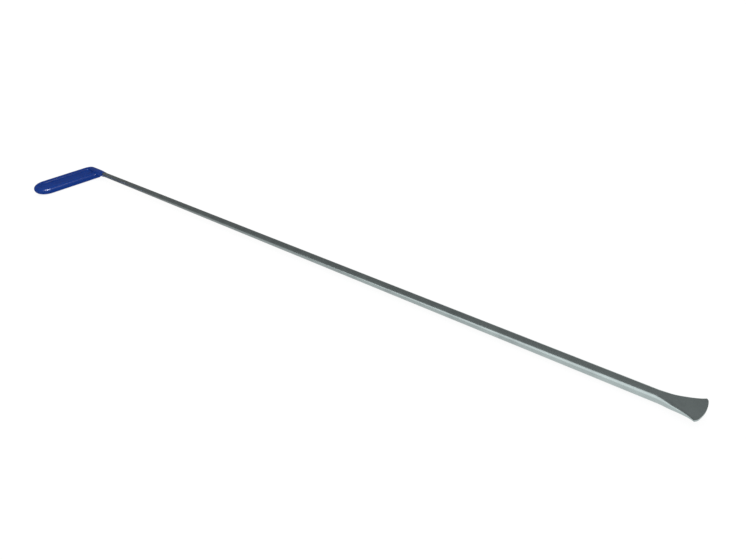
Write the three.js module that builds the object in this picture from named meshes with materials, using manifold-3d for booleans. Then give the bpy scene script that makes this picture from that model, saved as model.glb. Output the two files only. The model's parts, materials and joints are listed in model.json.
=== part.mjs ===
// A long-reach push rod: one round steel bar with a forged fan blade at the far end and, at the near end,
// a closed loop handle under a dipped vinyl grip. Millimetres, +Z up, the blade towards +X and the handle
// towards -Y. It is built with the shaft's axis on X, then tipped to lie on its handle and its blade end.
import * as THREE from "three";
import { mergeVertices } from "three/addons/utils/BufferGeometryUtils.js";
import Module from "manifold-3d";

// Bar
const barDiameter = 9.525;
const bladeCornerX = 1199.6; // from the far leg's axis to the blade's corners
const cornerBendRadius = 10.8; // at the bar's centre line

// Blade: forged flat at the bar's end. Its top face lies just below the top of the bar, and its underside
// rises to a thin edge.
const bladeWidth = 26.4;
const bladeEdgeThickness = 1.4;
const flareLength = 27;
const wedgeLength = 27;
const faceDrop = 1.0; // from the top of the bar down to the blade's top face
const faceDropLength = 11;
const edgeBulge = 2.5; // how far the middle of the end edge stands past its corners
const bladeCornerRound = 3.5;
const flickShare = 0.2; // share of the flare that opens in the last few millimetres
const flareExponent = 1.4;
const flickExponent = 8;
const wedgeExponent = 1.15;

// Loop handle: the far leg leaves the shaft level, and the return leg lies a little lower
const loopReach = 115.7; // from the shaft's axis to the centre line of the loop's closed end
const legSpacing = 38.1;
const returnLegDrop = 6.6;

// Web plate that closes the loop, and the weld that closes it on the shaft
const plateThickness = 2.0;
const weldDiameter = 8.6;
const weldReach = 1.5; // past the shaft's axis

// Grip
const coatThickness = 1.74;
const webCoatThickness = 1.6;
const gripEndX = 86.0; // from the far leg's axis to the grip's edge on the shaft
const lipLength = 30;
const lipEdgeWall = 0.35;
const lipExponent = 1.2;

// Fits
const gap = 0.3; // between touching pieces
const joinOverlap = 0.5; // how far solids that are joined into one run into each other

// Mesh fineness
const barSides = 24;
const turnSteps = 14;
const bendSteps = 8;
const flareSteps = 26;
const lipSteps = 5;

const barRadius = barDiameter / 2;
const gripRadius = barRadius + coatThickness;
const loopTilt = Math.asin(returnLegDrop / legSpacing);
const returnLegX = legSpacing * Math.cos(loopTilt);
const turnRadius = legSpacing / 2;
const straightLeg = loopReach - turnRadius;

const wasm = await Module();
wasm.setup();

function solidFrom(geometry) {
  const bare = new THREE.BufferGeometry().setAttribute("position", geometry.getAttribute("position"));
  if (geometry.index) bare.setIndex(geometry.index);
  const merged = mergeVertices(bare, 1e-4);
  return new wasm.Manifold(
    new wasm.Mesh({
      numProp: 3,
      vertProperties: merged.getAttribute("position").array,
      triVerts: new Uint32Array(merged.index.array),
    }),
  );
}

function geometryFrom(solid) {
  const mesh = solid.getMesh();
  const geometry = new THREE.BufferGeometry();
  geometry.setAttribute("position", new THREE.BufferAttribute(mesh.vertProperties, 3));
  geometry.setIndex(new THREE.BufferAttribute(mesh.triVerts, 1));
  geometry.computeVertexNormals();
  return geometry;
}

// Stretches joined end to end, each cut into its own number of steps, so a long straight takes one.
class StretchPath extends THREE.Curve {
  constructor(stretches) {
    super();
    this.stretches = stretches;
    this.steps = stretches.reduce((sum, stretch) => sum + stretch.steps, 0);
  }

  place(t) {
    let step = t * this.steps;
    for (const { curve, steps } of this.stretches) {
      if (step <= steps + 1e-9) return [curve, Math.min(step / steps, 1)];
      step -= steps;
    }
    return [this.stretches.at(-1).curve, 1];
  }

  getPoint(t) {
    const [curve, share] = this.place(t);
    return curve.getPoint(share);
  }

  getPointAt(t) {
    return this.getPoint(t);
  }

  getTangentAt(t) {
    const [curve, share] = this.place(t);
    return curve.getTangent(share);
  }
}

class ArcCurve extends THREE.Curve {
  constructor(centre, from, towards, sweep) {
    super();
    Object.assign(this, { centre, from, towards, sweep });
  }

  getPoint(t) {
    const angle = this.sweep * t;
    return this.centre
      .clone()
      .addScaledVector(this.from, Math.cos(angle))
      .addScaledVector(this.towards, Math.sin(angle));
  }

  getTangent(t) {
    const angle = this.sweep * t;
    return new THREE.Vector3()
      .addScaledVector(this.from, -Math.sin(angle))
      .addScaledVector(this.towards, Math.cos(angle))
      .normalize();
  }
}

function line(from, to, steps = 1) {
  return { curve: new THREE.LineCurve3(from, to), steps };
}

const across = new THREE.Vector3(Math.cos(loopTilt), 0, -Math.sin(loopTilt));
const farLeg = line(new THREE.Vector3(0, -cornerBendRadius, 0), new THREE.Vector3(0, -straightLeg, 0));

// The bar's centre line from startX on the shaft, round the corner and down the far leg. A stretch of the
// given length at the start takes steps of its own.
function shaftPath(startX, stretchLength, stretchSteps) {
  const start = new THREE.Vector3(startX, 0, 0);
  const afterStretch = new THREE.Vector3(startX - stretchLength, 0, 0);
  const bend = new ArcCurve(
    new THREE.Vector3(cornerBendRadius, -cornerBendRadius, 0),
    new THREE.Vector3(0, cornerBendRadius, 0),
    new THREE.Vector3(-cornerBendRadius, 0, 0),
    Math.PI / 2,
  );
  return new StretchPath([
    line(start, afterStretch, stretchSteps),
    line(afterStretch, new THREE.Vector3(cornerBendRadius, 0, 0)),
    { curve: bend, steps: bendSteps },
    farLeg,
  ]);
}

// The centre line down the far leg, round the turn and back along the return leg to endY.
function loopPath(endY) {
  const turn = new ArcCurve(
    new THREE.Vector3(0, -straightLeg, 0).addScaledVector(across, turnRadius),
    across.clone().multiplyScalar(-turnRadius),
    new THREE.Vector3(0, -turnRadius, 0),
    Math.PI,
  );
  const turnEnd = new THREE.Vector3(returnLegX, -straightLeg, -returnLegDrop);
  return new StretchPath([
    farLeg,
    { curve: turn, steps: turnSteps },
    line(turnEnd, new THREE.Vector3(returnLegX, endY, -returnLegDrop)),
  ]);
}

// A round section with flats, not corners, at its top, bottom and sides.
function roundSection(radius) {
  const points = [];
  for (let i = 0; i < barSides; i++) {
    const angle = ((i + 0.5) * 2 * Math.PI) / barSides;
    points.push(new THREE.Vector2(radius * Math.cos(angle), radius * Math.sin(angle)));
  }
  return new THREE.Shape(points);
}

function sweep(path, radius, reshape) {
  const geometry = new THREE.ExtrudeGeometry(roundSection(radius), {
    steps: path.steps,
    extrudePath: path,
    bevelEnabled: false,
  });
  const positions = geometry.getAttribute("position");
  const point = new THREE.Vector3();
  if (reshape)
    for (let i = 0; i < positions.count; i++) {
      point.fromBufferAttribute(positions, i);
      reshape(point);
      positions.setXYZ(i, point.x, point.y, point.z);
    }
  return solidFrom(geometry);
}

function bladeHalfWidth(x) {
  const share = THREE.MathUtils.clamp((x - bladeCornerX + flareLength) / flareLength, 0, 1);
  const opening = (1 - flickShare) * share ** flareExponent + flickShare * share ** flickExponent;
  return barRadius + (bladeWidth / 2 - barRadius) * opening;
}

function bladeThickness(x) {
  const share = THREE.MathUtils.clamp((x - bladeCornerX + wedgeLength) / wedgeLength, 0, 1);
  return barDiameter - (barDiameter - bladeEdgeThickness) * share ** wedgeExponent;
}

// Flattens the round bar: flat faces, half-round sides, and the top face settling just below the bar's top.
function forge(point) {
  const start = bladeCornerX - Math.max(flareLength, wedgeLength);
  if (point.x < start) return;
  const half = bladeThickness(point.x) / 2;
  const shrink = half / barRadius;
  const spread = bladeHalfWidth(point.x) - half;
  const flatHeight = Math.cos(Math.PI / barSides);
  const drop = faceDrop * THREE.MathUtils.smoothstep(point.x, start, start + faceDropLength);
  point.y = point.y * shrink + Math.sign(point.y) * spread;
  point.z = point.z * shrink + (barRadius - half) * flatHeight - drop;
}

// The plan outline that the blade's end is ground to: a bulging edge between rounded corners.
function bladeTrim() {
  const half = bladeWidth / 2;
  const radius = (half ** 2 + edgeBulge ** 2) / (2 * edgeBulge);
  const centreX = bladeCornerX + edgeBulge - radius;
  const inner = Math.asin((half - bladeCornerRound) / radius);
  const start = [centreX + radius * Math.cos(inner), half - bladeCornerRound];
  const back = bladeCornerX - bladeCornerRound;
  const shape = new THREE.Shape();
  shape.moveTo(-2 * loopReach, -2 * loopReach);
  shape.lineTo(back - flareLength, -2 * loopReach);
  shape.lineTo(back, -half);
  shape.quadraticCurveTo(bladeCornerX, -half, start[0], -start[1]);
  shape.absarc(centreX, 0, radius, -inner, inner, false);
  shape.quadraticCurveTo(bladeCornerX, half, back, half);
  shape.lineTo(back - flareLength, 2 * loopReach);
  shape.lineTo(-2 * loopReach, 2 * loopReach);
  const geometry = new THREE.ExtrudeGeometry(shape, {
    depth: 8 * barDiameter,
    curveSegments: 14,
    bevelEnabled: false,
  });
  return solidFrom(geometry.translate(0, 0, -4 * barDiameter));
}

// Where the return leg stops, a gap short of the shaft's lower side.
const legTop = barRadius - returnLegDrop;
const returnLegEndY = -Math.sqrt(Math.max(barRadius ** 2 - legTop ** 2, 0)) - gap;

function steelBar() {
  const pastEdge = bladeCornerX + edgeBulge + joinOverlap;
  const forged = Math.max(flareLength, wedgeLength) + pastEdge - bladeCornerX;
  const shaft = sweep(shaftPath(pastEdge, forged, flareSteps), barRadius, forge);
  return shaft.add(sweep(loopPath(returnLegEndY), barRadius)).intersect(bladeTrim());
}

function clearanceBar() {
  const radius = barRadius + gap;
  const shaft = sweep(shaftPath(gripEndX + lipLength, lipLength, 1), radius);
  return shaft.add(sweep(loopPath(returnLegEndY + gap), radius));
}

// A slab inside the loop's centre line, in the plane of its two legs, from shaftSide to the loop's turn.
function loopSlab(thickness, shaftSide) {
  const shape = new THREE.Shape();
  shape.moveTo(0, shaftSide);
  shape.lineTo(0, -straightLeg);
  shape.absarc(turnRadius, -straightLeg, turnRadius, Math.PI, 2 * Math.PI, false);
  shape.lineTo(legSpacing, shaftSide);
  const geometry = new THREE.ExtrudeGeometry(shape, {
    depth: thickness,
    curveSegments: turnSteps,
    bevelEnabled: false,
  });
  return solidFrom(geometry.translate(0, 0, -thickness / 2).rotateY(loopTilt));
}

function weldSolid(radius, from, to) {
  const length = to - from;
  const geometry = new THREE.CylinderGeometry(radius, radius, length, barSides, 1, false, Math.PI / barSides);
  return solidFrom(geometry.translate(returnLegX, from + length / 2, -returnLegDrop));
}

function weldBead() {
  return weldSolid(weldDiameter / 2, returnLegEndY + gap, weldReach).subtract(clearanceBar());
}

function webPlate() {
  const weldClearance = weldSolid(weldDiameter / 2 + gap, returnLegEndY, weldReach + gap);
  return loopSlab(plateThickness, -barRadius - gap).subtract(clearanceBar()).subtract(weldClearance);
}

function taperLip(point) {
  const share = (point.x - gripEndX + lipLength) / lipLength;
  if (share <= 0) return;
  const edgeRadius = barRadius + gap + lipEdgeWall;
  const scale = 1 - (1 - edgeRadius / gripRadius) * Math.min(share, 1) ** lipExponent;
  point.y *= scale;
  point.z *= scale;
}

function grip() {
  const coat = sweep(shaftPath(gripEndX, lipLength, lipSteps), gripRadius, taperLip);
  const legEnd = new THREE.SphereGeometry(gripRadius, barSides, barSides / 2);
  legEnd.rotateX(Math.PI / 2).translate(returnLegX, 0, -returnLegDrop);
  const web = loopSlab(plateThickness + 2 * (gap + webCoatThickness), 0);
  const slot = loopSlab(plateThickness + 2 * gap, -barRadius);
  const weldSpace = weldSolid(weldDiameter / 2 + gap, returnLegEndY - joinOverlap, weldReach + gap);
  return coat
    .add(sweep(loopPath(0), gripRadius))
    .add(solidFrom(legEnd))
    .add(web)
    .subtract(clearanceBar())
    .subtract(slot)
    .subtract(weldSpace);
}

const steel = { color: 0x8f9494, roughness: 0.3, metalness: 1 };
const weldSteel = { color: 0x6f6f6c, roughness: 0.6, metalness: 1 };
const sheetSteel = { color: 0x84888a, roughness: 0.45, metalness: 1 };
const vinyl = { color: 0x12348a, roughness: 0.3, metalness: 0 };

function piece(name, solid, finish) {
  const mesh = new THREE.Mesh(geometryFrom(solid), new THREE.MeshStandardMaterial(finish));
  mesh.name = name;
  return mesh;
}

const tool = new THREE.Group();
tool.add(
  piece("steel_bar", steelBar(), steel),
  piece("loop_weld", weldBead(), weldSteel),
  piece("loop_web_plate", webPlate(), sheetSteel),
  piece("vinyl_grip", grip(), vinyl),
);

// It lies on the return leg's coat at one end and, at the other, on the bar where the blade's wedge begins.
const legBottom = returnLegDrop + gripRadius;
const restSpan = bladeCornerX - wedgeLength - returnLegX;
tool.rotation.y = Math.atan((legBottom - barRadius) / restSpan);

const part = new THREE.Group();
part.add(tool);
const box = new THREE.Box3().setFromObject(part, true);
tool.position.set(-(box.min.x + box.max.x) / 2, -(box.min.y + box.max.y) / 2, -box.min.z);

export default part;
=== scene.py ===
"""A long steel push rod with a forged fan blade and a dipped loop handle, laid on a pale floor."""

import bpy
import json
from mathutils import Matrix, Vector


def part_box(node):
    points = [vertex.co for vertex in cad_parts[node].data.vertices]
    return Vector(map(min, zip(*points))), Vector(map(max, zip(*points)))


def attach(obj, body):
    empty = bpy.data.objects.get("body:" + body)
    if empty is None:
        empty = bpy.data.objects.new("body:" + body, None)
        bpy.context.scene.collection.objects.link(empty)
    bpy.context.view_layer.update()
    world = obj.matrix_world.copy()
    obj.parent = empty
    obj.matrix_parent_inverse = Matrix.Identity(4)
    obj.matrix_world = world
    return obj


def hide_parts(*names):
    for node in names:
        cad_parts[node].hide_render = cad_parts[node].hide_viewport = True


bl_info = {
    "name": "Push Rod",
    "version": (1, 0, 0),
    "blender": (4, 5, 0),
    "location": "View3D > Sidebar > Push Rod",
    "description": "Models the finished surfaces of a long push rod with a dipped loop handle",
    "category": "Object",
}

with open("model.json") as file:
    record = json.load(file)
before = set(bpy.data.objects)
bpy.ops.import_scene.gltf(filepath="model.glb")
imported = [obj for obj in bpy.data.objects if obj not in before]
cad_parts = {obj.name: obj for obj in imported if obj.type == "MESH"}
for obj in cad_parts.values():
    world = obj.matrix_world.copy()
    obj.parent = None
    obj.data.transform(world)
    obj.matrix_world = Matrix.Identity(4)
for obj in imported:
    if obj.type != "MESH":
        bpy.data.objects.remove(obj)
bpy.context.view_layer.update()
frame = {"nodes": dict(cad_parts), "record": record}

import json
import math

import bmesh
import bpy
from bpy.props import FloatProperty, FloatVectorProperty, IntProperty, PointerProperty
from bpy.types import Operator, Panel, PropertyGroup
from mathutils import Matrix, Vector

CAD_BAR_SIDES = 24
LEG_CLEARANCE = 0.0003  # between the return leg's end and the shaft
LIP_STEPS = 12
TRIM_STEPS = 48
CORNER_SEGMENTS = 8
WELD_SPACE_LENGTH = 1.6  # of the weld's own length

# Lights, in the bar's own frame: the card's upper edge, how it slopes and the card's size, then the window.
CARD_EDGE = Vector((0.0665, -0.9525, 0.30))
CARD_SLOPE = math.radians(36.3)
CARD_SIZE = (6, 3)
WINDOW_PLACE = Vector((0.69, -0.355, 0.64))
WINDOW_AIM = Vector((0.02, -0.06, 0))
WINDOW_SIZE = (0.5, 0.5)
LIT_BY_WINDOW = "lit by window"

# The X component of a reflected ray's direction where the gloom is at its far and at its near strength.
GLOOM_FAR_X, GLOOM_NEAR_X = -0.95, -0.1
Y_AXIS, Z_AXIS = Vector((0, 1, 0)), Vector((0, 0, 1))


# ---- Sizes and finishes that a user would change ------------------------------------------------------


def length(name, description, default):
    return FloatProperty(
        name=name, description=description, default=default, min=0, precision=5, unit="LENGTH"
    )


def share(name, description, default):
    return FloatProperty(name=name, description=description, default=default, min=0, max=1)


def colour(name, description, default):
    return FloatVectorProperty(
        name=name, description=description, default=default, size=4, min=0, max=1, subtype="COLOR"
    )


def strength(name, description, default):
    return FloatProperty(name=name, description=description, default=default, min=0)


class PushRodBar(PropertyGroup):
    """The round bar: the shaft, the corner, and the loop that it is bent into."""

    diameter: length("Diameter", "Diameter of the round steel bar", 0.009525)
    corner_radius: length("Corner radius", "Radius of the corner between shaft and loop", 0.0108)
    leg_spacing: length("Leg spacing", "Distance between the loop's two legs", 0.0381)
    loop_reach: length("Loop reach", "From the shaft to the loop's closed end", 0.1157)
    return_drop: length("Return drop", "How much lower the loop's return leg lies", 0.0066)
    sides: IntProperty(name="Sides", description="Facets round the bar", default=64, min=12)
    turn_steps: IntProperty(name="Turn steps", description="Steps in a quarter turn", default=20, min=4)


class PushRodBlade(PropertyGroup):
    """The forged fan at the end of the bar."""

    corner_distance: length("Corner distance", "From the far leg to the blade's corners", 1.1996)
    width: length("Width", "Width across the blade's corners", 0.0264)
    edge_thickness: length("Edge thickness", "Thickness of the end edge", 0.0014)
    forged: length("Forged length", "Length over which the bar widens and thins", 0.027)
    drop: length("Face drop", "From the top of the bar down to the blade's top face", 0.001)
    drop_length: length("Face drop length", "Length over which the top face comes down", 0.011)
    bulge: length("Bulge", "How far the end edge stands past the corners", 0.0025)
    corner_round: length("Corner round", "Radius of the blade's corners in plan", 0.0035)
    edge_soft: length("Edge softening", "Width of the softened edges", 0.0003)
    flick: share("Flick", "Share of the flare that opens at the very end", 0.2)
    flare_exponent: strength("Flare exponent", "How late the flare opens", 1.4)
    flick_exponent: strength("Flick exponent", "How late the last of the flare opens", 8)
    wedge_exponent: strength("Wedge exponent", "How late the blade thins", 1.15)
    steps: IntProperty(name="Steps", description="Stations along the forging", default=40, min=8)


class PushRodGrip(PropertyGroup):
    """The dipped vinyl coat, and the web that closes the loop."""

    coat: length("Coat", "Thickness of the vinyl on the bar, clearance included", 0.00174)
    web_thickness: length("Web thickness", "Thickness of the web over its coat", 0.0058)
    plate_space: length("Plate space", "Thickness of the space that the plate takes", 0.0026)
    end_distance: length("End distance", "From the far leg to the coat's edge on the shaft", 0.086)
    lip: length("Lip", "Length over which the coat thins", 0.030)
    lip_exponent: strength("Lip exponent", "How late the coat thins", 1.2)
    lip_wall: length("Lip wall", "Thickness of the coat at its edge", 0.00045)
    clearance: length("Clearance", "Play between the coat and the bar", 0.0002)
    voxel: length("Voxel", "Fineness of the joined coat", 0.00056)
    smoothing: IntProperty(name="Smoothing", description="Passes that round the fillets", default=22)


class PushRodFinish(PropertyGroup):
    """Colours of the steel and the vinyl."""

    steel: colour("Steel", "Colour of the bright bar", (0.47, 0.545, 0.54, 1))
    steel_worn: colour("Handled steel", "Colour of the bar where it is duller", (0.38, 0.44, 0.44, 1))
    hidden_steel: colour("Hidden steel", "Colour of the plate under the vinyl", (0.35, 0.36, 0.37, 1))
    weld: colour("Weld", "Colour of the weld bead", (0.24, 0.22, 0.20, 1))
    vinyl: colour("Vinyl", "Colour of the dipped vinyl", (0.002, 0.031, 0.21, 1))
    vinyl_deep: colour("Deep vinyl", "Colour of the vinyl where it is thick", (0.002, 0.018, 0.14, 1))


class PushRodStage(PropertyGroup):
    """Camera, floor and soft studio light."""

    lens: FloatProperty(name="Lens", description="Focal length in millimetres", default=24.53)
    camera_place: FloatVectorProperty(
        name="Camera place", description="Where the camera stands", subtype="TRANSLATION",
        unit="LENGTH", default=(0.6481, -0.2452, 0.2803),
    )
    camera_turn: FloatVectorProperty(
        name="Camera turn", description="How the camera is turned", subtype="EULER",
        default=tuple(math.radians(angle) for angle in (59.465, 8.239, 44.998)),
    )
    floor_colour: colour("Floor", "Colour of the floor", (0.12, 0.12, 0.12, 1))
    floor_glow: strength("Floor glow", "Light that the floor gives off by itself", 0.89)
    floor_reflected: strength("Reflected floor", "Brightness of the floor in the steel by the blade", 0.83)
    floor_dark_end: FloatProperty(
        name="Dark end", description="Where along the rod the floor stays dark in the steel",
        default=-0.5, unit="LENGTH",
    )
    floor_bright_end: FloatProperty(
        name="Bright end", description="Where along the rod the floor is bright in the steel",
        default=0.55, unit="LENGTH",
    )
    floor_half: length("Floor half side", "Half of the floor's side", 15)
    sky: strength("Sky", "Brightness of the surroundings, out of reflections", 1.15)
    gloom_far: strength("Far gloom", "Brightness reflected from past the handle", 0.15)
    gloom_near: strength("Near gloom", "Brightness reflected from past the blade", 0.23)
    card: strength("Card", "Brightness of the low light card", 1.0)
    window: strength("Window", "Brightness of the soft light that glints in the vinyl", 90)


# ---- Placing and small helpers ------------------------------------------------------------------------


def sizes():
    """The scene's property groups, by short names."""
    scene = bpy.context.scene
    return scene.push_rod_bar, scene.push_rod_blade, scene.push_rod_grip


def placement():
    """From the bar's own frame (shaft on X, far leg's axis at X = 0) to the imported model's frame."""
    low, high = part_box("steel_bar")
    face = next(m for m in frame["record"]["mounts"] if m["name"] == "blade_face")
    tilt = math.atan2(face["axis"][0], face["axis"][2])
    flat = bpy.context.scene.push_rod_bar.diameter / 2 * math.cos(math.pi / CAD_BAR_SIDES)
    origin = Vector((low.x + flat, face["pos_m"][1], high.z - flat))
    return Matrix.Translation(origin) @ Matrix.Rotation(tilt, 4, "Y")


def new_piece(name, bm, material=None):
    """Makes the bmesh an object at the origin, with its faces pointing out and smooth."""
    bmesh.ops.recalc_face_normals(bm, faces=bm.faces)
    for face in bm.faces:
        face.smooth = True
    mesh = bpy.data.meshes.new(name)
    bm.to_mesh(mesh)
    bm.free()
    if material:
        mesh.materials.append(material)
    piece = bpy.data.objects.new(name, mesh)
    bpy.context.scene.collection.objects.link(piece)
    return piece


def finish_piece(piece, material, node):
    """Puts the piece in its place on the model, in the stead of a CAD node."""
    piece.data.transform(placement())
    piece.data.materials.clear()
    piece.data.materials.append(material)
    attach(piece, "root")
    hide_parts(node)


def settle(piece):
    """Puts what the piece's modifiers make in place of its mesh."""
    graph = bpy.context.evaluated_depsgraph_get()
    made = bpy.data.meshes.new_from_object(piece.evaluated_get(graph))
    piece.modifiers.clear()
    piece.data = made
    return piece


def combine(piece, tools, operation):
    """Joins each tool's solid to the piece, cuts it out, or keeps what is common. The tools go."""
    for tool in tools:
        step = piece.modifiers.new(operation.lower(), "BOOLEAN")
        step.operation = operation
        step.solver = "EXACT"
        step.object = tool
        settle(piece)
        bpy.data.objects.remove(tool)


def across():
    """Unit vector from the far leg towards the return leg."""
    bar = bpy.context.scene.push_rod_bar
    tilt = math.asin(bar.return_drop / bar.leg_spacing)
    return Vector((math.cos(tilt), 0, -math.sin(tilt)))


def return_leg():
    """The return leg's axis, where it would meet the shaft's plane."""
    return across() * bpy.context.scene.push_rod_bar.leg_spacing


# ---- Tubes along the bar's line -----------------------------------------------------------------------


def ring_across_shaft(bm, x, radius):
    """A ring of points round the shaft, with flats at its top and sides."""
    bar = bpy.context.scene.push_rod_bar
    turned = Matrix.Rotation(math.pi / bar.sides, 4, "X") @ Matrix.Rotation(math.pi / 2, 4, "Y")
    made = bmesh.ops.create_circle(
        bm, segments=bar.sides, radius=radius, matrix=Matrix.Translation((x, 0, 0)) @ turned
    )
    return made["verts"] + list({edge for vert in made["verts"] for edge in vert.link_edges})


def run(bm, ring, offset, steps=1):
    """Draws the ring out along a straight line."""
    return bmesh.ops.spin(
        bm, geom=ring, cent=(0, 0, 0), axis=Z_AXIS, dvec=Vector(offset) / steps, angle=0, steps=steps
    )["geom_last"]


def turn(bm, ring, centre, axis, angle, steps):
    """Draws the ring round an arc."""
    return bmesh.ops.spin(
        bm, geom=ring, cent=centre, axis=axis, dvec=(0, 0, 0), angle=angle, steps=steps
    )["geom_last"]


def draw_loop(bm, ring, start_x, leg_end):
    """Draws a ring on the shaft along to the corner, round the loop and back to leg_end."""
    bar = bpy.context.scene.push_rod_bar
    radius = bar.leg_spacing / 2
    straight = bar.loop_reach - radius
    side = across()
    ring = run(bm, ring, (bar.corner_radius - start_x, 0, 0))
    corner = (bar.corner_radius, -bar.corner_radius, 0)
    ring = turn(bm, ring, corner, Z_AXIS, math.pi / 2, bar.turn_steps)
    ring = run(bm, ring, (0, bar.corner_radius - straight, 0), 2)
    centre = side * radius - Y_AXIS * straight
    ring = turn(bm, ring, centre, side.cross(Y_AXIS), math.pi, 2 * bar.turn_steps)
    return run(bm, ring, (0, straight + leg_end, 0), 2)


def close_ends(bm):
    """Closes the open ends of a tube."""
    bmesh.ops.holes_fill(bm, edges=[edge for edge in bm.edges if edge.is_boundary], sides=0)


def return_leg_end(radius):
    """How far short of the shaft's axis a return leg of this radius stops, just clear of the shaft."""
    bar = bpy.context.scene.push_rod_bar
    top = radius - bar.return_drop
    return -math.sqrt(max(radius ** 2 - top ** 2, 0)) - LEG_CLEARANCE


# ---- The steel bar ------------------------------------------------------------------------------------


def forge_blade(bm):
    """Flattens the end of the round bar into a fan whose top face settles just below the bar's top."""
    bar, blade, _ = sizes()
    radius = bar.diameter / 2
    for vert in bm.verts:
        past_start = vert.co.x - blade.corner_distance + blade.forged
        if past_start < 0:
            continue
        forged = min(past_start / blade.forged, 1)
        settled = min(past_start / blade.drop_length, 1)
        flared = (1 - blade.flick) * forged ** blade.flare_exponent
        flicked = blade.flick * forged ** blade.flick_exponent
        half_width = radius + (blade.width / 2 - radius) * (flared + flicked)
        half = radius - (radius - blade.edge_thickness / 2) * forged ** blade.wedge_exponent
        drop = blade.drop * settled ** 2 * (3 - 2 * settled)
        vert.co.y = vert.co.y * half / radius + math.copysign(half_width - half, vert.co.y)
        vert.co.z = vert.co.z * half / radius + radius - half - drop


def blade_trim():
    """A thick plate round the bar whose end is the blade's outline: a bulging edge, rounded corners."""
    bar, blade, _ = sizes()
    half, corner, depth = blade.width / 2, blade.corner_distance, bar.diameter
    radius = (half ** 2 + blade.bulge ** 2) / (2 * blade.bulge)
    centre = (corner + blade.bulge - radius, 0, -depth)
    inner = math.asin((half - blade.corner_round) / radius)
    bm = bmesh.new()
    first = bm.verts.new((centre[0] + radius, 0, -depth))
    bmesh.ops.rotate(bm, verts=[first], cent=centre, matrix=Matrix.Rotation(-inner, 3, "Z"))
    bmesh.ops.spin(bm, geom=[first], cent=centre, axis=Z_AXIS, angle=2 * inner, steps=TRIM_STEPS)
    arc = sorted(bm.verts, key=lambda vert: vert.co.y)
    shoulder, back, reach = corner - blade.corner_round, corner - blade.forged, 2 * bar.loop_reach
    upper, lower = [bm.verts.new((corner, side, -depth)) for side in (half, -half)]
    behind = [(shoulder, half), (back, reach), (-reach, reach)]
    behind += [(x, -y) for x, y in reversed(behind)]
    bm.faces.new(arc + [upper] + [bm.verts.new((x, y, -depth)) for x, y in behind] + [lower])
    bmesh.ops.bevel(
        bm, geom=[upper, lower], offset=0.95 * blade.corner_round, segments=CORNER_SEGMENTS, profile=0.5,
        affect="VERTICES", material=-1,
    )
    top = bmesh.ops.extrude_face_region(bm, geom=list(bm.faces))["geom"]
    raised = [item for item in top if isinstance(item, bmesh.types.BMVert)]
    bmesh.ops.translate(bm, verts=raised, vec=(0, 0, 2 * depth))
    return bm


def soften_edges(piece, width):
    """Rounds the edges that are sharp, and keeps flat faces flat in the shading."""
    bevel = piece.modifiers.new("soft edges", "BEVEL")
    bevel.width = width
    bevel.segments = 3
    bevel.limit_method = "ANGLE"
    bevel.angle_limit = math.radians(40)
    weighted = piece.modifiers.new("flat faces", "WEIGHTED_NORMAL")
    weighted.keep_sharp = True
    settle(piece)


class PUSHROD_OT_bar(Operator):
    """Model the one-piece steel bar with its forged blade"""

    bl_idname = "push_rod.bar"
    bl_label = "Steel Bar"

    def execute(self, context):
        bar, blade, _ = sizes()
        radius = bar.diameter / 2
        tip = blade.corner_distance + blade.bulge + radius / 4
        forged = tip - blade.corner_distance + blade.forged
        bm = bmesh.new()
        ring = ring_across_shaft(bm, tip, radius)
        ring = run(bm, ring, (-forged, 0, 0), blade.steps)
        draw_loop(bm, ring, tip - forged, return_leg_end(radius))
        close_ends(bm)
        forge_blade(bm)
        piece = new_piece("push_rod_bar", bm)
        combine(piece, [new_piece("trim", blade_trim())], "INTERSECT")
        soften_edges(piece, blade.edge_soft)
        finish_piece(piece, steel_material(), "steel_bar")
        return {"FINISHED"}


# ---- The vinyl grip -----------------------------------------------------------------------------------


def slab_frame():
    """From a slab laid flat, with the far leg on its Y axis, to the plane of the loop's two legs."""
    bar = bpy.context.scene.push_rod_bar
    return Matrix.Rotation(math.asin(bar.return_drop / bar.leg_spacing), 4, "Y")


def add_block(bm, thickness, shaft_side):
    """Adds a block that fills the straight part of the loop between its legs."""
    bar = bpy.context.scene.push_rod_bar
    radius = bar.leg_spacing / 2
    straight = bar.loop_reach - radius
    middle = Matrix.Translation((radius, (shaft_side - straight) / 2, 0))
    stretch = Matrix.Diagonal((bar.leg_spacing, shaft_side + straight, thickness, 1))
    bmesh.ops.create_cube(bm, size=1, matrix=slab_frame() @ middle @ stretch)


def add_disc(bm, thickness):
    """Adds a disc that fills the loop's turn."""
    bar = bpy.context.scene.push_rod_bar
    radius = bar.leg_spacing / 2
    bmesh.ops.create_cone(
        bm, cap_ends=True, segments=2 * bar.sides, radius1=radius, radius2=radius, depth=thickness,
        matrix=slab_frame() @ Matrix.Translation((radius, radius - bar.loop_reach, 0)),
    )


def coat_blank():
    """The coat before its solids are joined: a tube round the bar, a rounded leg end, and the web."""
    bar, _, grip = sizes()
    bar_radius = bar.diameter / 2
    full = bar_radius + grip.coat
    edge = bar_radius + grip.lip_wall
    bm = bmesh.new()
    ring = ring_across_shaft(bm, grip.end_distance, edge)
    radius = edge
    for step in range(1, LIP_STEPS + 1):
        ring = run(bm, ring, (-grip.lip / LIP_STEPS, 0, 0))
        thinned = 1 - step / LIP_STEPS
        wanted = full - (full - edge) * thinned ** grip.lip_exponent
        round_it = [item for item in ring if isinstance(item, bmesh.types.BMVert)]
        bmesh.ops.scale(bm, verts=round_it, vec=(1, wanted / radius, wanted / radius))
        radius = wanted
    draw_loop(bm, ring, grip.end_distance - grip.lip, 0)
    close_ends(bm)
    bmesh.ops.create_uvsphere(
        bm, u_segments=48, v_segments=24, radius=full, matrix=Matrix.Translation(return_leg())
    )
    add_block(bm, grip.web_thickness, 0)
    add_disc(bm, grip.web_thickness)
    return new_piece("push_rod_grip", bm)


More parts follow.
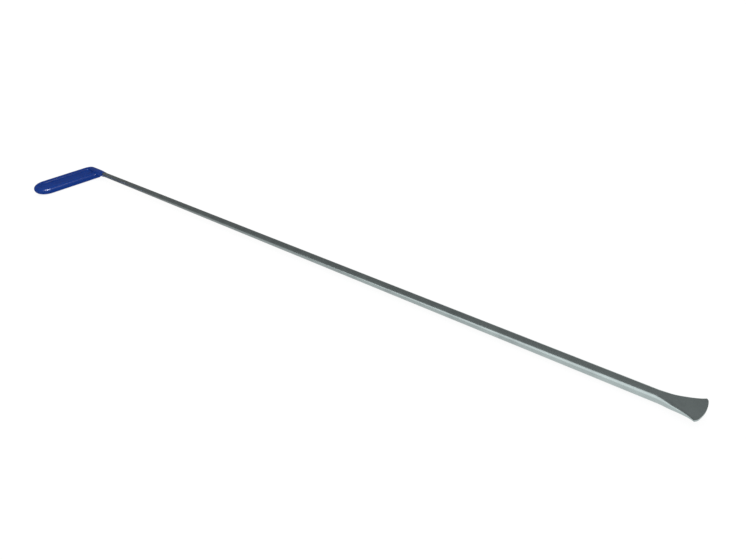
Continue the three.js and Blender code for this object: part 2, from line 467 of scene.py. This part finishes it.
def spaces_in_coat():
    """What the coat is hollow for: the bar, the plate and the weld."""
    bar, _, grip = sizes()
    radius = bar.diameter / 2 + grip.clearance
    tube = bmesh.new()
    start = grip.end_distance + grip.lip
    draw_loop(tube, ring_across_shaft(tube, start, radius), start, return_leg_end(radius))
    close_ends(tube)
    weld = bmesh.new()
    low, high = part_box("loop_weld")
    away = (high.x - low.x) / 2 + grip.clearance
    depth = WELD_SPACE_LENGTH * (high.y - low.y)
    bmesh.ops.create_cone(
        weld, cap_ends=True, segments=bar.sides, radius1=away, radius2=away, depth=depth,
        matrix=Matrix.Translation(return_leg()) @ Matrix.Rotation(math.pi / 2, 4, "X"),
    )
    slot, slot_end = bmesh.new(), bmesh.new()
    add_block(slot, grip.plate_space, -bar.diameter / 2)
    add_disc(slot_end, grip.plate_space)
    return [new_piece("space", solid) for solid in (tube, slot, slot_end, weld)]


class PUSHROD_OT_grip(Operator):
    """Model the dipped vinyl coat that closes over the loop"""

    bl_idname = "push_rod.grip"
    bl_label = "Vinyl Grip"

    def execute(self, context):
        _, _, grip = sizes()
        piece = coat_blank()
        remesh = piece.modifiers.new("one skin", "REMESH")
        remesh.mode = "VOXEL"
        remesh.voxel_size = grip.voxel
        remesh.use_smooth_shade = True
        smooth = piece.modifiers.new("fillets", "SMOOTH")
        smooth.factor = 0.5
        smooth.iterations = grip.smoothing
        settle(piece)
        combine(piece, spaces_in_coat(), "DIFFERENCE")
        finish_piece(piece, vinyl_material(), "vinyl_grip")
        if LIT_BY_WINDOW in bpy.data.collections:
            bpy.data.collections[LIT_BY_WINDOW].objects.link(piece)
        return {"FINISHED"}


class PUSHROD_OT_hidden_steel(Operator):
    """Finish the plate and the weld that the vinyl covers"""

    bl_idname = "push_rod.hidden_steel"
    bl_label = "Plate and Weld"

    def execute(self, context):
        finish = context.scene.push_rod_finish
        for node, tint in (("loop_web_plate", finish.hidden_steel), ("loop_weld", finish.weld)):
            mesh = frame["nodes"][node].data
            mesh.materials.clear()
            mesh.materials.append(rough_steel_material(node, tint))
        return {"FINISHED"}


# ---- Materials ----------------------------------------------------------------------------------------


class Nodes:
    """Adds and joins the nodes of one material or group."""

    def __init__(self, tree):
        self.tree = tree
        self.column = 0

    def add(self, kind, links=None, **values):
        node = self.tree.nodes.new(kind)
        self.column += 1
        node.location = (180 * self.column, 0)
        for name, value in values.items():
            setattr(node, name, value)
        for socket, source in (links or {}).items():
            if isinstance(source, bpy.types.NodeSocket):
                self.tree.links.new(source, node.inputs[socket])
            else:
                node.inputs[socket].default_value = source
        return node


def effect_group(name, inputs, output, build):
    """A node group with float inputs and one float output, built once."""
    group = bpy.data.node_groups.get(name)
    if group:
        return group
    group = bpy.data.node_groups.new(name, "ShaderNodeTree")
    for title, value in inputs.items():
        socket = group.interface.new_socket(title, in_out="INPUT", socket_type="NodeSocketFloat")
        socket.default_value = value
    group.interface.new_socket(output, in_out="OUTPUT", socket_type="NodeSocketFloat")
    nodes = Nodes(group)
    entry = nodes.add("NodeGroupInput")
    result = build(nodes, entry.outputs)
    nodes.add("NodeGroupOutput", {output: result})
    return group


def drawn_grain():
    """Fine lines along the bar, as drawing through a die leaves them."""

    def build(nodes, given):
        place = nodes.add("ShaderNodeTexCoord").outputs["Object"]
        across_only = nodes.add("ShaderNodeMapping", {"Vector": place, "Scale": (0.012, 1, 1)}).outputs[0]
        return nodes.add(
            "ShaderNodeTexNoise",
            {"Vector": across_only, "Scale": given["Scale"], "Detail": given["Detail"], "Roughness": 0.6},
        ).outputs["Fac"]

    return effect_group("Drawn grain", {"Scale": 900, "Detail": 5}, "Grain", build)


def mottle():
    """Slow, cloudy variation over a surface."""

    def build(nodes, given):
        place = nodes.add("ShaderNodeTexCoord").outputs["Object"]
        cloud = nodes.add(
            "ShaderNodeTexNoise", {"Vector": place, "Scale": given["Scale"], "Detail": 4, "Roughness": 0.55}
        ).outputs["Fac"]
        return nodes.add(
            "ShaderNodeMapRange",
            {"Value": cloud, "From Min": 0.3, "From Max": 0.7, "To Min": 0, "To Max": 1},
        ).outputs["Result"]

    return effect_group("Mottle", {"Scale": 40}, "Cloud", build)


def use_group(nodes, group, **values):
    """Puts a node group in a material's tree, and gives its output."""
    node = nodes.add("ShaderNodeGroup", node_tree=group)
    for name, value in values.items():
        node.inputs[name].default_value = value
    return node.outputs[0]


def blend_colours(nodes, factor, first, second):
    """first where the factor is 0, second where it is 1."""
    mix = nodes.add("ShaderNodeMix", data_type="RGBA")
    nodes.tree.links.new(factor, mix.inputs["Factor"])
    for socket in mix.inputs:
        if socket.type == "RGBA" and socket.name in "AB":
            socket.default_value = first if socket.name == "A" else second
    return next(socket for socket in mix.outputs if socket.type == "RGBA")


def spread(nodes, value, low, high):
    """Maps 0 to 1 onto low to high."""
    return nodes.add("ShaderNodeMapRange", {"Value": value, "To Min": low, "To Max": high}).outputs["Result"]


def new_material(name):
    """An empty material, and what adds its nodes."""
    material = bpy.data.materials.new(name)
    material.use_nodes = True
    material.node_tree.nodes.clear()
    return material, Nodes(material.node_tree)


def surface(nodes, **sockets):
    """The Principled shader and the output."""
    named = {name.replace("_", " "): value for name, value in sockets.items()}
    shader = nodes.add("ShaderNodeBsdfPrincipled", named)
    nodes.add("ShaderNodeOutputMaterial", {"Surface": shader.outputs["BSDF"]})


def steel_material():
    """Bright drawn bar: fine grain along it, and faint cloudiness from handling."""
    finish = bpy.context.scene.push_rod_finish
    material, nodes = new_material("bright_bar_steel")
    grain = use_group(nodes, drawn_grain(), Scale=1400, Detail=4)
    cloud = use_group(nodes, mottle(), Scale=55)
    tint = blend_colours(nodes, cloud, finish.steel, finish.steel_worn)
    sheen = spread(nodes, grain, 0.17, 0.27)
    bump = nodes.add("ShaderNodeBump", {"Strength": 0.12, "Distance": 0.0001, "Height": grain})
    surface(nodes, Base_Color=tint, Metallic=1.0, Roughness=sheen, Normal=bump.outputs["Normal"])
    return material


def rough_steel_material(name, tint):
    """Steel under the vinyl, dull and unpolished."""
    material, nodes = new_material(name + "_steel")
    grain = use_group(nodes, drawn_grain(), Scale=500, Detail=3)
    cloud = use_group(nodes, mottle(), Scale=150)
    darker = [channel * 0.6 for channel in tint[:3]] + [1]
    bump = nodes.add("ShaderNodeBump", {"Strength": 0.3, "Distance": 0.0003, "Height": grain})
    surface(
        nodes, Base_Color=blend_colours(nodes, cloud, tint, darker), Metallic=1.0,
        Roughness=spread(nodes, cloud, 0.45, 0.65), Normal=bump.outputs["Normal"],
    )
    return material


def vinyl_material():
    """Glossy dipped vinyl, a little deeper in colour where it pooled, with a faint orange peel."""
    finish = bpy.context.scene.push_rod_finish
    material, nodes = new_material("dipped_vinyl")
    cloud = spread(nodes, use_group(nodes, mottle(), Scale=30), 0, 0.5)
    peel = use_group(nodes, mottle(), Scale=120)
    bump = nodes.add("ShaderNodeBump", {"Strength": 0.02, "Distance": 0.0003, "Height": peel})
    surface(
        nodes, Base_Color=blend_colours(nodes, cloud, finish.vinyl, finish.vinyl_deep),
        Roughness=spread(nodes, peel, 0.28, 0.32), Normal=bump.outputs["Normal"], IOR=1.5,
        Specular_IOR_Level=0.10,
    )
    return material


# ---- Stage --------------------------------------------------------------------------------------------


def area_light(name, place, turned, size, radiance):
    """A rectangular soft light of the given radiance, which shows only in reflections."""
    data = bpy.data.lights.new(name, "AREA")
    data.shape = "RECTANGLE"
    data.size, data.size_y = size
    data.energy = radiance * math.pi * size[0] * size[1]
    lamp = bpy.data.objects.new(name, data)
    lamp.location = place
    lamp.rotation_mode = "QUATERNION"
    lamp.rotation_quaternion = turned
    lamp.visible_camera = False
    lamp.visible_diffuse = False
    bpy.context.scene.collection.objects.link(lamp)
    return lamp


class PUSHROD_OT_stage(Operator):
    """Set the floor, the soft light and the camera"""

    bl_idname = "push_rod.stage"
    bl_label = "Stage"

    def execute(self, context):
        scene = context.scene
        stage = scene.push_rod_stage
        scene.view_settings.view_transform = "Standard"
        self.lay_floor(stage)
        self.light_world(scene, stage)
        self.hang_card(stage)
        self.hang_window(stage)
        self.place_camera(scene, stage)
        return {"FINISHED"}

    def lay_floor(self, stage):
        bm = bmesh.new()
        bmesh.ops.create_grid(bm, x_segments=1, y_segments=1, size=stage.floor_half)
        floor = new_piece("floor", bm, self.floor_material(stage))
        floor.visible_shadow = False

    def floor_material(self, stage):
        """Pale and faintly luminous. In the steel's reflections it is bright only near the blade."""
        material, nodes = new_material("pale_floor")
        path = nodes.add("ShaderNodeLightPath")
        place = nodes.add("ShaderNodeTexCoord").outputs["Object"]
        along = nodes.add("ShaderNodeSeparateXYZ", {"Vector": place}).outputs["X"]
        reflected = nodes.add(
            "ShaderNodeMapRange",
            {
                "Value": along, "From Min": stage.floor_dark_end, "From Max": stage.floor_bright_end,
                "To Min": stage.gloom_far, "To Max": stage.floor_reflected,
            },
        ).outputs["Result"]
        seen = blend_colours(nodes, path.outputs["Is Glossy Ray"], stage.floor_colour, (0, 0, 0, 1))
        glow = nodes.add("ShaderNodeMix", {"Factor": path.outputs["Is Glossy Ray"]}, data_type="FLOAT")
        glow.inputs["A"].default_value = stage.floor_glow
        nodes.tree.links.new(reflected, glow.inputs["B"])
        surface(
            nodes, Base_Color=seen, Roughness=0.9, Specular_IOR_Level=0.0, Emission_Color=(1, 1, 1, 1),
            Emission_Strength=glow.outputs["Result"],
        )
        return material

    def light_world(self, scene, stage):
        world = bpy.data.worlds.new("studio")
        scene.world = world
        world.use_nodes = True
        world.node_tree.nodes.clear()
        nodes = Nodes(world.node_tree)
        path = nodes.add("ShaderNodeLightPath")
        direction = nodes.add("ShaderNodeTexCoord").outputs["Generated"]
        along = nodes.add("ShaderNodeSeparateXYZ", {"Vector": direction}).outputs["X"]
        gloom = nodes.add(
            "ShaderNodeMapRange",
            {
                "Value": along, "From Min": GLOOM_FAR_X, "From Max": GLOOM_NEAR_X,
                "To Min": stage.gloom_far, "To Max": stage.gloom_near,
            },
        ).outputs["Result"]
        level = nodes.add(
            "ShaderNodeMapRange",
            {"Value": path.outputs["Is Glossy Ray"], "To Min": stage.sky, "To Max": gloom},
        ).outputs["Result"]
        backdrop = nodes.add("ShaderNodeBackground", {"Color": (1, 1, 1, 1), "Strength": level})
        nodes.add("ShaderNodeOutputWorld", {"Surface": backdrop.outputs["Background"]})

    def hang_card(self, stage):
        """A long, low, sloping light that makes the bright band on the bar."""
        sloped = Matrix.Rotation(-CARD_SLOPE, 4, "Y")
        facing = sloped @ Matrix.Rotation(math.pi / 2, 4, "X")
        place = placement() @ CARD_EDGE + sloped @ Vector((0, 0, -CARD_SIZE[1] / 2))
        area_light("card", place, facing.to_quaternion(), CARD_SIZE, stage.card)

    def hang_window(self, stage):
        """A soft light that glints in the vinyl alone."""
        place = placement() @ WINDOW_PLACE
        facing = (place - placement() @ WINDOW_AIM).to_track_quat("Z", "Y")
        lamp = area_light("window", place, facing, WINDOW_SIZE, stage.window)
        lamp.light_linking.receiver_collection = bpy.data.collections.new(LIT_BY_WINDOW)

    def place_camera(self, scene, stage):
        data = bpy.data.cameras.new("camera")
        data.lens = stage.lens
        camera = bpy.data.objects.new("camera", data)
        camera.location = stage.camera_place
        camera.rotation_euler = stage.camera_turn
        scene.collection.objects.link(camera)
        scene.camera = camera


# ---- Registration -------------------------------------------------------------------------------------


class PUSHROD_PT_panel(Panel):
    """Steps that make the push rod"""

    bl_label = "Push Rod"
    bl_space_type = "VIEW_3D"
    bl_region_type = "UI"
    bl_category = "Push Rod"

    def draw(self, context):
        for operator in STEPS:
            self.layout.operator(operator.bl_idname)
        for group, _ in GROUPS:
            settings = getattr(context.scene, group)
            box = self.layout.box()
            for name in settings.bl_rna.properties.keys():
                if name not in ("rna_type", "name"):
                    box.prop(settings, name)


GROUPS = (
    ("push_rod_bar", PushRodBar),
    ("push_rod_blade", PushRodBlade),
    ("push_rod_grip", PushRodGrip),
    ("push_rod_finish", PushRodFinish),
    ("push_rod_stage", PushRodStage),
)
STEPS = (PUSHROD_OT_stage, PUSHROD_OT_bar, PUSHROD_OT_grip, PUSHROD_OT_hidden_steel)


def register():
    for _, group in GROUPS:
        bpy.utils.register_class(group)
    for name, group in GROUPS:
        setattr(bpy.types.Scene, name, PointerProperty(type=group))
    for operator in STEPS:
        bpy.utils.register_class(operator)
    bpy.utils.register_class(PUSHROD_PT_panel)


def unregister():
    bpy.utils.unregister_class(PUSHROD_PT_panel)
    for operator in reversed(STEPS):
        bpy.utils.unregister_class(operator)
    for name, group in reversed(GROUPS):
        delattr(bpy.types.Scene, name)
        bpy.utils.unregister_class(group)


def main():
    register()
    bpy.ops.push_rod.stage()
    bpy.ops.push_rod.bar()
    bpy.ops.push_rod.grip()
    bpy.ops.push_rod.hidden_steel()


if __name__ == "__main__":
    main()
